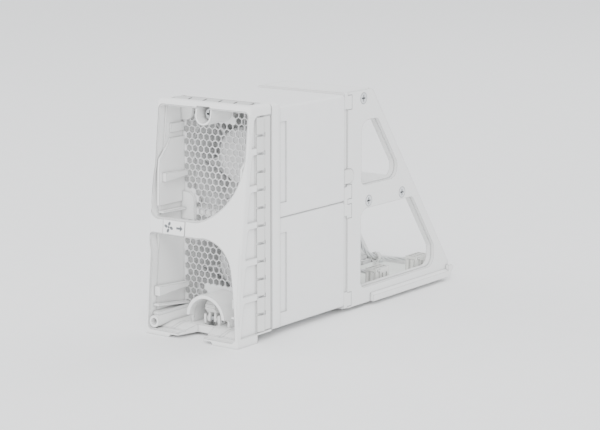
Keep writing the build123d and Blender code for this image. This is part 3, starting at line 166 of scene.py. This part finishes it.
@dataclass(frozen=True)
class Finish:
    """A surface finish: a base colour, its sheen and a fine pattern of a real size."""

    name: str
    colour: str
    grain: Grain = Grain.SPARKED
    roughness: float = 0.5
    metallic: float = 0.0
    ior: float = 1.5
    mottle: float = 0.015          # how far the colour varies over a patch
    mottle_size: float = 18.0
    grain_size: float = 0.9        # spacing of the texture, as coarse as it needs to be to show
    grain_depth: float = 0.02
    edge_round: float = 0.65       # radius that a sharp edge is shaded with
    painted_edge_shade: float = 0.5         # painted shade drawn as a dark line along a sharp edge, which isn't the material's own
    painted_crevice_shade: float = 0.42          # how much painted shade darkens a crevice, from ambient occlusion
    painted_crevice_shade_reach: float = 2.5

    def pattern(self, tree: bpy.types.NodeTree, place: bpy.types.NodeSocket) -> bpy.types.NodeSocket:
        """The height of the fine pattern.

        Args:
            tree: The material's node tree.
            place: Object coordinates in metres.

        Returns:
            The height socket, from 0 to 1.
        """
        scale = 1 / mm(self.grain_size)
        if self.grain is Grain.ROLLED:
            drawn = add_node(tree, "Mapping", inputs={"Vector": place, "Scale": (1.0, 1.0, 0.04)})
            lines = {"Vector": drawn.outputs[0], "Scale": scale, "Detail": 2.0}
            return add_node(tree, "TexNoise", inputs=lines).outputs[0]
        if self.grain is Grain.STACKED:
            bands = {"wave_type": "BANDS", "bands_direction": "Y", "wave_profile": "SAW"}
            return add_node(tree, "TexWave", bands, {"Vector": place, "Scale": scale * 0.3}).outputs["Fac"]
        if self.grain is Grain.WOUND:
            bands = {"wave_type": "BANDS", "bands_direction": "DIAGONAL", "wave_profile": "SIN"}
            return add_node(tree, "TexWave", bands, {"Vector": place, "Scale": scale * 0.3}).outputs["Fac"]
        if self.grain is Grain.BRAIDED:
            over = add_node(tree, "TexChecker", inputs={"Vector": place, "Scale": scale})
            return over.outputs["Fac"]
        if self.grain in (Grain.PRESSED, Grain.MASKED):
            cells = {"feature": "F1", "distance": "CHEBYCHEV" if self.grain is Grain.MASKED else "EUCLIDEAN"}
            return add_node(tree, "TexVoronoi", cells, {"Vector": place, "Scale": scale}).outputs["Distance"]
        detail = 4.0 if self.grain is Grain.SPARKED else 0.5
        cloud = {"Vector": place, "Scale": scale, "Detail": detail}
        return add_node(tree, "TexNoise", inputs=cloud).outputs["Fac"]

    def tone(self, tree: bpy.types.NodeTree, place: bpy.types.NodeSocket) -> bpy.types.NodeSocket:
        """The base colour with its slow variation.

        Args:
            tree: The material's node tree.
            place: Object coordinates in metres.

        Returns:
            The colour socket.
        """
        slow = {"Vector": place, "Scale": 1 / mm(self.mottle_size), "Detail": 3.0}
        patch = add_node(tree, "TexNoise", inputs=slow).outputs["Fac"]
        dark = tuple(channel * (1 - self.mottle * 2) for channel in linear(self.colour)[:3]) + (1.0,)
        return add_node(tree, "MixRGB", inputs={0: patch, 1: dark, 2: linear(self.colour)}).outputs[0]

    def material(self) -> bpy.types.Material:
        """Build the node material.

        Returns:
            The material, with its texture, its tone, painted shade in its crevices and painted shade lines
            along its sharp edges.
        """
        material = bpy.data.materials.new(self.name)
        material.use_nodes = True
        tree = material.node_tree
        tree.nodes.clear()
        place = add_node(tree, "TexCoord").outputs["Object"]
        colour = self.tone(tree, place)
        shades = []
        # painted shade: ambient occlusion darkens the colour in crevices and between parts, where shade falls
        if self.painted_crevice_shade:
            reach = {"Distance": mm(self.painted_crevice_shade_reach)}
            hidden = add_node(tree, "AmbientOcclusion", {"samples": SHADE_SAMPLES}, reach)
            shade = {"Value": hidden.outputs["AO"], "To Min": 1 - self.painted_crevice_shade, "To Max": 1.0}
            shades.append(add_node(tree, "MapRange", inputs=shade))
        bump_inputs = {"Height": self.pattern(tree, place), "Distance": mm(self.grain_depth), "Strength": 1.0}
        if self.edge_round:
            edge = add_node(tree, "Bevel", {"samples": SHADE_SAMPLES}, {"Radius": mm(self.edge_round)})
            bump_inputs["Normal"] = edge.outputs["Normal"]
            # painted shade: the colour darkens in a thin line where the rounded normal turns from the face,
            # along sharp edges and seams
            face = add_node(tree, "NewGeometry")
            both = {0: edge.outputs["Normal"], 1: face.outputs["Normal"]}
            turned = add_node(tree, "VectorMath", {"operation": "DOT_PRODUCT"}, both).outputs["Value"]
            turn = {"Value": turned, "From Min": EDGE_TURNED, "From Max": EDGE_FLAT}
            shade = {**turn, "To Min": 1 - self.painted_edge_shade, "To Max": 1.0}
            shades.append(add_node(tree, "MapRange", inputs=shade))
        for shade in shades:
            darker = {0: 1.0, 1: colour, 2: shade.outputs[0]}
            colour = add_node(tree, "MixRGB", {"blend_type": "MULTIPLY"}, darker).outputs[0]
        bump = add_node(tree, "Bump", inputs=bump_inputs)
        shader = add_node(tree, "BsdfPrincipled", inputs={
            "Base Color": colour,
            "Roughness": self.roughness,
            "Metallic": self.metallic,
            "Normal": bump.outputs[0],
        })
        if self.metallic < 0.5:
            shader.inputs["IOR"].default_value = self.ior
        add_node(tree, "OutputMaterial", inputs={"Surface": shader.outputs[0]})
        return material


FINISHES = {
    # moulded polycarbonate blend: near white, an even fine pit from the spark-eroded mould, a soft sheen
    "hood_plastic": Finish("moulded_pc_abs_hood", "#F7F7F6", roughness=0.46, ior=1.57),
    "carrier_plastic": Finish("moulded_pc_abs_carrier", "#F5F5F4", roughness=0.44, ior=1.57, grain_size=0.7),
    # glass-filled polyester: a little greyer, with faint flow marks
    "fan_plastic": Finish(
        "glass_filled_pbt", "#F8F8F8", roughness=0.42, ior=1.55, mottle=0.03,
        mottle_size=9.0,
    ),
    "impeller_plastic": Finish("impeller_pbt", "#FBFBFB", roughness=0.38, ior=1.55, painted_crevice_shade=0.0),
    # acetal: slick and slightly waxy
    "latch_plastic": Finish("acetal_latch", "#EDEDEB", roughness=0.34, ior=1.48, grain_size=0.5),
    # rubber: matte, with no gloss
    "grommet_rubber": Finish("epdm_grommet", "#F0F0EE", roughness=0.75, ior=1.52, grain_size=0.4),
    # printed film: smooth, with a light gloss
    "label_film": Finish("polycarbonate_film", "#FBFBFA", roughness=0.28, ior=1.58, grain_depth=0.004),
    "label_ink": Finish("screen_printing_ink", "#6E7276", roughness=0.5, grain_depth=0.004, painted_edge_shade=0.0),
    # powder coated sheet: the soft orange peel of baked powder
    "grille_steel": Finish(
        "powder_coated_steel", "#F6F6F6", Grain.COATED, roughness=0.42, grain_size=0.8,
        painted_crevice_shade=0.12,
    ),
    # rolled spring steel: bright, with fine lines along the strip
    "contact_steel": Finish(
        "rolled_stainless", "#EDEDEB", Grain.ROLLED, roughness=0.34, metallic=1.0,
        grain_size=0.12,
    ),
    # bright zinc: cool and slightly cloudy
    "zinc_screw": Finish(
        "bright_zinc", "#E6E8EA", Grain.COATED, roughness=0.3, metallic=1.0, mottle=0.05,
        mottle_size=2.0,
    ),
    "spring_steel": Finish(
        "drawn_spring_wire", "#D4D6D8", Grain.ROLLED, roughness=0.25, metallic=1.0,
        grain_size=0.1,
    ),
    # pressed ferrite: dark, dull granules
    "magnet_ferrite": Finish("pressed_ferrite", "#2A2A2C", Grain.PRESSED, roughness=0.6, grain_size=0.3),
    "ground_steel": Finish(
        "ground_bearing_steel", "#D6D6D8", Grain.ROLLED, roughness=0.18, metallic=1.0,
        grain_size=0.1,
    ),
    # stacked sheets of electrical steel: fine bands along the motor's axis
    "core_steel": Finish(
        "stator_laminations", "#8A8C90", Grain.STACKED, roughness=0.4, metallic=1.0,
        grain_size=0.5,
    ),
    # enamelled copper: turns of wire under a clear varnish
    "copper_wire": Finish(
        "enamelled_copper", "#B87446", Grain.WOUND, roughness=0.3, metallic=0.8,
        grain_size=0.35,
    ),
    # laminate under a pale lacquer, over square-cornered tracks
    "circuit_board": Finish(
        "solder_mask", "#EEF2EC", Grain.MASKED, roughness=0.28, grain_size=2.2,
        grain_depth=0.035,
    ),
    # moulded nylon: slightly warm, satin
    "header_plastic": Finish("moulded_nylon", "#EFEFEB", roughness=0.42, ior=1.53, grain_size=0.4),
    "contact_pins": Finish(
        "plated_pins", "#D8C48C", Grain.COATED, roughness=0.22, metallic=1.0,
        grain_size=0.3,
    ),
    # wire insulation: satin, with a fine crossed texture
    "lead_sleeve": Finish(
        "wire_insulation", "#E8E9EA", Grain.BRAIDED, roughness=0.55, grain_size=0.4,
        grain_depth=0.03,
    ),
}


class Finishes:
    """Makes each material once and gives it out by its slot."""

    def __init__(self) -> None:
        """Start with no material made."""
        self.made: dict[str, bpy.types.Material] = {}

    def __getitem__(self, slot: str) -> bpy.types.Material:
        """The material of a slot."""
        if slot not in self.made:
            self.made[slot] = FINISHES[slot].material()
        return self.made[slot]

    def dress_nodes(self) -> None:
        """Give every CAD node the finish of its record slot."""
        slots = {entry["node"]: entry["material_slot"] for entry in frame["record"]["subparts"]}
        for name, node in frame["nodes"].items():
            material = self[slots[name]]
            if not node.material_slots:
                node.data.materials.append(material)
            for slot in node.material_slots:
                slot.material = material
            log.info("%s: %s", name, material.name)


# ---------------------------------------------------------------- the label's print
@dataclass
class LabelPrint:
    """A four-blade fan and an outward arrow printed on the label, with no lettering."""

    blades: int = 4
    hub: float = 0.8
    blade_length: float = 3.0
    blade_width: float = 2.1
    blade_lean: float = -24.0
    blade_step: float = 0.5        # how far a blade stands beside its radius
    blade_reach: float = 0.56      # share of a blade's length from the hub to its middle
    fan_inset: float = 5.2         # from the label's left edge to the fan's middle
    arrow_length: float = 6.8
    arrow_width: float = 1.5
    head_length: float = 3.2
    head_width: float = 5.0
    gap: float = 0.8               # between the fan's square and the arrow's tail
    overlap: float = 0.6           # how far the arrow's shaft stands behind its own middle
    rise: float = 0.02             # height of the print over the label
    ink: float = 0.06              # thickness of the ink, enough to show

    def plane(self) -> tuple[Matrix, float]:
        """Find the label's front face.

        Returns:
            The place of its left edge at mid height, with X along the label, Y up it and Z outwards, and
            its length in metres.
        """
        low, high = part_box("fan_label")
        corners = [vert.co for vert in frame["nodes"]["fan_label"].data.vertices]
        reach = (high.z - low.z) * 0.05
        foot = min(corner.y for corner in corners if corner.z < low.z + reach)
        head = min(corner.y for corner in corners if corner.z > high.z - reach)
        up = Vector((0.0, head - foot, high.z - low.z)).normalized()
        right = Vector((1.0, 0.0, 0.0))
        out = right.cross(up)
        start = Vector((low.x, (foot + head) / 2, (low.z + high.z) / 2)) + out * mm(self.rise)
        axes = Matrix((right, up, out)).transposed().to_4x4()
        return Matrix.Translation(start) @ axes, high.x - low.x

    def spot(self, bm: bmesh.types.BMesh, radius: float, place: Matrix, sides: int) -> None:
        """Add a flat disc, of a radius in millimetres and a number of sides, to a mesh."""
        bmesh.ops.create_circle(bm, cap_ends=True, segments=sides, radius=mm(radius), matrix=place)

    def build(self, finishes: Finishes) -> None:
        """Print the fan and the arrow.

        Args:
            finishes: The materials by slot.
        """
        place, length = self.plane()
        bm = bmesh.new()
        fan = place @ Matrix.Translation((mm(self.fan_inset), 0, 0))
        self.spot(bm, self.hub, fan, 24)
        for index in range(self.blades):
            turn = Matrix.Rotation(2 * pi * index / self.blades, 4, "Z")
            reach = self.hub + self.blade_length * self.blade_reach
            offset = Matrix.Translation((mm(self.blade_step), mm(reach), 0))
            lean = Matrix.Rotation(radians(self.blade_lean), 4, "Z")
            oval = Matrix.Diagonal((self.blade_width / 2, self.blade_length / 2, 1, 1))
            self.spot(bm, 1.0, fan @ turn @ offset @ lean @ oval, 28)
        tail = self.fan_inset * 2 + self.gap
        shaft = place @ Matrix.Translation((mm(tail + self.arrow_length / 2 - self.overlap), 0, 0))
        half = (mm(self.arrow_length - self.head_length) / 2, mm(self.arrow_width) / 2)
        shaft = shaft @ Matrix.Diagonal((*half, 1, 1))
        bmesh.ops.create_grid(bm, x_segments=1, y_segments=1, size=1.0, matrix=shaft)
        tip = place @ Matrix.Translation((mm(tail + self.arrow_length - self.head_length / 2), 0, 0))
        wide = Matrix.Diagonal((self.head_length / 2, self.head_width / 2, 1, 1))
        self.spot(bm, 1.0, tip @ wide @ Matrix.Rotation(-pi / 2, 4, "Z"), 3)
        thick = bmesh.ops.extrude_face_region(bm, geom=bm.faces[:])
        out = place.to_3x3() @ Vector((0, 0, mm(self.ink)))
        raised = [item for item in thick["geom"] if isinstance(item, bmesh.types.BMVert)]
        bmesh.ops.translate(bm, verts=raised, vec=out)
        finish_piece(bm, "label_print", finishes["label_ink"])


# ---------------------------------------------------------------- the hood's floor
@dataclass
class FloorRibs:
    """Shallow stiffening ribs on the hood's floor, two on each side of the finger arch."""

    runs: tuple = (
        ((-20.6, -134.4), (-20.2, -118.8)),
        ((-23.4, -134.0), (-23.0, -118.8)),
        ((20.6, -134.4), (20.2, -118.8)),
        ((23.4, -134.0), (23.0, -118.8)),
    )
    width: float = 1.1
    height: float = 0.55
    edge: float = 0.18
    joint: float = 0.3             # how much longer each length is, so that two meet
    sill: tuple = (-138.1, 4.4)    # where the sloping floor begins, in (y, z)
    crest: tuple = (-125.0, 7.6)   # where it levels out

    def floor(self, y: float) -> float:
        """Height of the floor at a place along Y, in millimetres."""
        share = min(max((y - self.sill[0]) / (self.crest[0] - self.sill[0]), 0.0), 1.0)
        return self.sill[1] + share * (self.crest[1] - self.sill[1])

    def build(self, finishes: Finishes) -> None:
        """Make each rib in two lengths, one on the slope and one on the level.

        Args:
            finishes: The materials by slot.
        """
        bm = bmesh.new()
        for (x_front, y_front), (x_rear, y_rear) in self.runs:
            break_y = self.crest[0]
            break_x = x_front + (x_rear - x_front) * (break_y - y_front) / (y_rear - y_front)
            stops = ((x_front, y_front), (break_x, break_y), (x_rear, y_rear))
            for (x_0, y_0), (x_1, y_1) in zip(stops, stops[1:]):
                start, end = Vector((x_0, y_0, self.floor(y_0))), Vector((x_1, y_1, self.floor(y_1)))
                run = end - start
                turn = run.to_track_quat("Y", "Z").to_matrix().to_4x4()
                middle = Matrix.Translation((start + end) * mm(0.5))
                add_bar(bm, (self.width, run.length + self.joint, self.height), middle @ turn, self.edge)
        finish_piece(bm, "hood_floor_ribs", finishes["hood_plastic"])


# ---------------------------------------------------------------- the fan leads
@dataclass
class FanLead:
    """A lead of four twisted wires held by ties, along the same route as its CAD tube."""

    name: str
    route: tuple
    wires: int = 4
    wire: float = 0.72             # radius of one wire
    lay: float = 1.02              # distance from the bundle's middle to a wire's
    twist: float = 42.0            # length of one turn of the twist
    ties: tuple = (0.3, 0.72)      # shares of the length
    tie_radius: float = 2.05
    tie_width: float = 2.2

    def centre_line(self) -> list[Vector]:
        """Smooth the route.

        Returns:
            Points along it, in metres.
        """
        curve = bpy.data.curves.new(self.name + "_route", "CURVE")
        curve.dimensions = "3D"
        curve.resolution_u = 10
        spline = curve.splines.new("NURBS")
        spline.points.add(len(self.route) - 1)
        for point, (x, y, z) in zip(spline.points, self.route):
            point.co = (mm(x), mm(y), mm(z), 1.0)
        spline.order_u = 3
        spline.use_endpoint_u = True
        holder = bpy.data.objects.new(self.name + "_route", curve)
        line = bpy.data.meshes.new_from_object(holder)
        points = [vert.co.copy() for vert in line.vertices]
        bpy.data.objects.remove(holder)
        bpy.data.meshes.remove(line)
        return points

    def build(self, finishes: Finishes) -> None:
        """Twist the wires round the centre line and tie them.

        Args:
            finishes: The materials by slot.
        """
        points = self.centre_line()
        curve = bpy.data.curves.new(self.name + "_wires", "CURVE")
        curve.dimensions = "3D"
        curve.bevel_depth = mm(self.wire)
        curve.bevel_resolution = 3
        curve.use_fill_caps = True
        frames, run = [], 0.0
        side = Vector((1.0, 0.0, 0.0))
        for index, point in enumerate(points):
            ahead = points[min(index + 1, len(points) - 1)] - points[max(index - 1, 0)]
            side = (side - ahead.normalized() * side.dot(ahead.normalized())).normalized()
            frames.append((point, side.copy(), ahead.normalized().cross(side), run))
            if index + 1 < len(points):
                run += (points[index + 1] - point).length
        for wire in range(self.wires):
            spline = curve.splines.new("POLY")
            spline.points.add(len(frames) - 1)
            for target, (point, across, up, distance) in zip(spline.points, frames):
                angle = 2 * pi * (wire / self.wires + distance / mm(self.twist))
                place = point + (across * cos(angle) + up * sin(angle)) * mm(self.lay)
                target.co = (*place, 1.0)
        curve.materials.append(finishes["lead_sleeve"])
        bundle = bpy.data.objects.new(self.name + "_wires", curve)
        bpy.context.collection.objects.link(bundle)
        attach(bundle, "root")
        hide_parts(self.name)
        log.info("%s: %d wires, %.0f mm", self.name, self.wires, run * 1000)
        bm = bmesh.new()
        for share in self.ties:
            point, across, up, _ = min(frames, key=lambda frame_at: abs(frame_at[3] - share * run))
            axes = Matrix((across, up, across.cross(up))).transposed().to_4x4()
            bmesh.ops.create_cone(
                bm,
                cap_ends=True,
                segments=24,
                radius1=mm(self.tie_radius),
                radius2=mm(self.tie_radius),
                depth=mm(self.tie_width),
                matrix=Matrix.Translation(point) @ axes,
            )
        finish_piece(bm, self.name + "_ties", finishes["latch_plastic"])


LEADS = (
    FanLead("upper_fan_lead", (
        (27.0, -8.5, 103.0), (27.0, 4.0, 102.0), (27.0, 15.0, 92.0), (25.0, 23.0, 74.0),
        (20.0, 36.0, 58.0), (13.0, 50.0, 45.0), (10.0, 62.0, 33.0), (9.0, 74.0, 26.5), (8.0, 88.0, 22.5),
        (4.8, 101.0, 19.0), (6.6, 111.5, 17.4), (12.4, 117.0, 17.0), (18.9, 117.0, 17.0),
    )),
    FanLead("lower_fan_lead", (
        (27.0, -8.5, 52.0), (27.0, 4.0, 51.0), (24.0, 17.0, 44.0), (16.0, 30.0, 34.0),
        (8.0, 42.0, 25.0), (4.8, 52.5, 19.0), (12.4, 60.0, 16.5), (18.9, 60.0, 16.5),
    ), ties=(0.5,)),
)


# ---------------------------------------------------------------- camera, floor and light
@dataclass
class Studio:
    """The camera, a plain floor and soft lights."""

    camera_at: tuple = (889.5, -1231.6, 358.0)
    turn: float = 0.6291           # radians, from +Y towards -X
    dip: float = 0.1877            # radians below the horizon
    lens: float = 122.29
    floor_colour: str = "#FDFDFD"
    sky_colour: str = "#F4F6F8"
    sky_strength: float = 1.6
    aim: tuple = (0.0, 0.0, 0.08)  # what the lights face, in metres
    lights: tuple = (              # name, place and size in metres, power in watts
        ("key_light", (0.9, -1.6, 1.7), 1.2, 30.0),
        ("side_light", (-1.6, -0.9, 1.1), 1.4, 9.0),
        ("back_light", (0.2, 1.8, 1.6), 1.4, 9.0),
    )

    def build(self) -> None:
        """Make the camera, the floor and the lights."""
        camera_data = bpy.data.cameras.new("camera")
        camera_data.lens = self.lens
        camera_data.sensor_width = 36.0
        camera_data.clip_end = 20.0
        camera = bpy.data.objects.new("camera", camera_data)
        camera.location = [mm(value) for value in self.camera_at]
        camera.rotation_euler = (pi / 2 - self.dip, 0.0, self.turn)
        bpy.context.collection.objects.link(camera)
        bpy.context.scene.camera = camera

        bm = bmesh.new()
        bmesh.ops.create_grid(bm, x_segments=1, y_segments=1, size=6.0)
        mesh = bpy.data.meshes.new("floor")
        bm.to_mesh(mesh)
        bm.free()
        floor = bpy.data.objects.new("floor", mesh)
        bpy.context.collection.objects.link(floor)
        paint = Finish("painted_floor", self.floor_colour, roughness=0.9, edge_round=0.0, painted_crevice_shade=0.0)
        mesh.materials.append(paint.material())
        world = bpy.data.worlds.new("studio")
        world.use_nodes = True
        world.node_tree.nodes["Background"].inputs["Color"].default_value = linear(self.sky_colour)
        world.node_tree.nodes["Background"].inputs["Strength"].default_value = self.sky_strength
        bpy.context.scene.world = world
        for name, at, size, power in self.lights:
            light_data = bpy.data.lights.new(name, "AREA")
            light_data.size = size
            light_data.energy = power
            light = bpy.data.objects.new(name, light_data)
            light.location = at
            towards = Vector(self.aim) - Vector(at)
            light.rotation_euler = towards.to_track_quat("-Z", "Y").to_euler()
            bpy.context.collection.objects.link(light)


def main() -> None:
    """Build the looks in order and report each piece."""
    logging.basicConfig(level=logging.INFO, format="%(name)s %(message)s")
    Studio().build()
    finishes = Finishes()
    finishes.dress_nodes()
    for piece in (LabelPrint(), FloorRibs(), *LEADS):
        piece.build(finishes)


if __name__ == "__main__":
    main()
